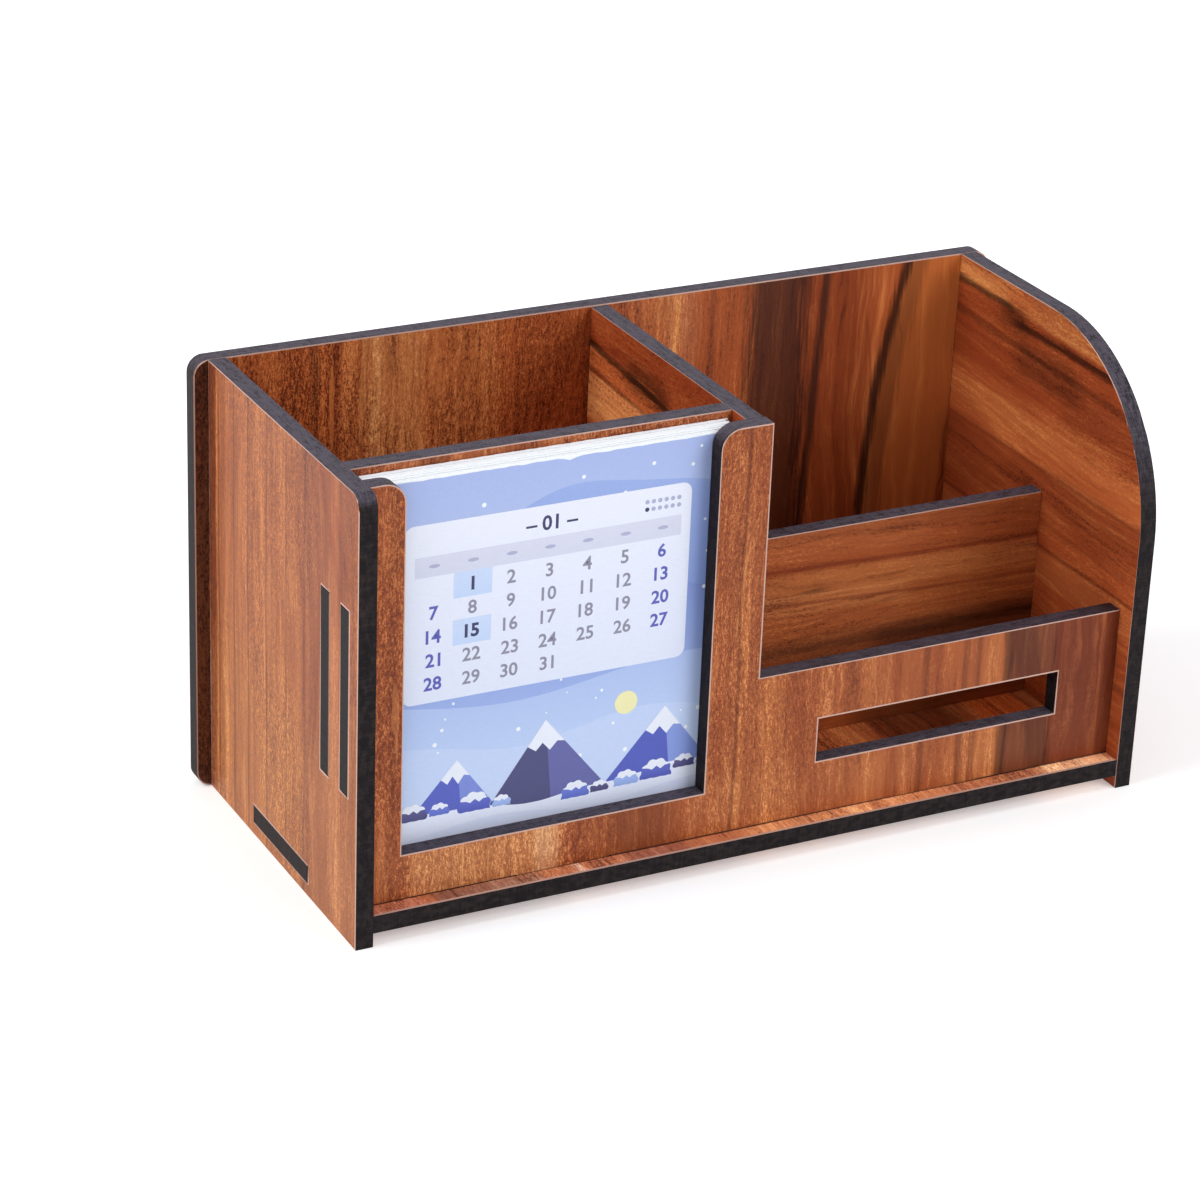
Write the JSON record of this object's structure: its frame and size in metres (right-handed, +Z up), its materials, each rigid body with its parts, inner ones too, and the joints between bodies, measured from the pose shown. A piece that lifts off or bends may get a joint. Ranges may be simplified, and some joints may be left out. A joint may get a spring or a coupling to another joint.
{
  "type": "pen stand",
  "caption": "Desk pen stand of slotted laminated boards: a pen box, two open bins, a letter slot and a pocket of loose calendar cards shown in a front window.",
  "frame": {"origin": "middle of the footprint, on the plane the stand rests on", "axes": "+X along the length to the viewer's right, -Y out of the front with the calendar window, +Z up"},
  "size_m": [0.2, 0.0854, 0.1025],
  "materials": {
    "laminated_board": "satin printed wood grain on both faces, charred dark cut edges",
    "calendar_card": "smooth card, printed front in pale blue, white edges"
  },
  "bodies": {
    "stand": {"back_panel": "laminated_board", "left_panel": "laminated_board", "right_panel": "laminated_board", "base_panel": "laminated_board", "front_panel": "laminated_board", "pocket_back_panel": "laminated_board", "bin_divider": "laminated_board", "partition_panel": "laminated_board"},
    "card_01": {"calendar_card_01": "calendar_card"},
    "card_02": {"calendar_card_02": "calendar_card"},
    "card_03": {"calendar_card_03": "calendar_card"},
    "card_04": {"calendar_card_04": "calendar_card"},
    "card_05": {"calendar_card_05": "calendar_card"},
    "card_06": {"calendar_card_06": "calendar_card"},
    "card_07": {"calendar_card_07": "calendar_card"},
    "card_08": {"calendar_card_08": "calendar_card"},
    "card_09": {"calendar_card_09": "calendar_card"},
    "card_10": {"calendar_card_10": "calendar_card"},
    "card_11": {"calendar_card_11": "calendar_card"},
    "card_12": {"calendar_card_12": "calendar_card"}
  },
  "joints": [
    {"name": "card_01_lift", "type": "slide", "parent": "stand", "child": "card_01", "axis": [0, 0, 1], "range_m": [0, 0.0955]},
    {"name": "card_02_lift", "type": "slide", "parent": "stand", "child": "card_02", "axis": [0, 0, 1], "range_m": [0, 0.0955]},
    {"name": "card_03_lift", "type": "slide", "parent": "stand", "child": "card_03", "axis": [0, 0, 1], "range_m": [0, 0.0955]},
    {"name": "card_04_lift", "type": "slide", "parent": "stand", "child": "card_04", "axis": [0, 0, 1], "range_m": [0, 0.0955]},
    {"name": "card_05_lift", "type": "slide", "parent": "stand", "child": "card_05", "axis": [0, 0, 1], "range_m": [0, 0.0955]},
    {"name": "card_06_lift", "type": "slide", "parent": "stand", "child": "card_06", "axis": [0, 0, 1], "range_m": [0, 0.0955]},
    {"name": "card_07_lift", "type": "slide", "parent": "stand", "child": "card_07", "axis": [0, 0, 1], "range_m": [0, 0.0955]},
    {"name": "card_08_lift", "type": "slide", "parent": "stand", "child": "card_08", "axis": [0, 0, 1], "range_m": [0, 0.0955]},
    {"name": "card_09_lift", "type": "slide", "parent": "stand", "child": "card_09", "axis": [0, 0, 1], "range_m": [0, 0.0955]},
    {"name": "card_10_lift", "type": "slide", "parent": "stand", "child": "card_10", "axis": [0, 0, 1], "range_m": [0, 0.0955]},
    {"name": "card_11_lift", "type": "slide", "parent": "stand", "child": "card_11", "axis": [0, 0, 1], "range_m": [0, 0.0955]},
    {"name": "card_12_lift", "type": "slide", "parent": "stand", "child": "card_12", "axis": [0, 0, 1], "range_m": [0, 0.0955]}
  ]
}
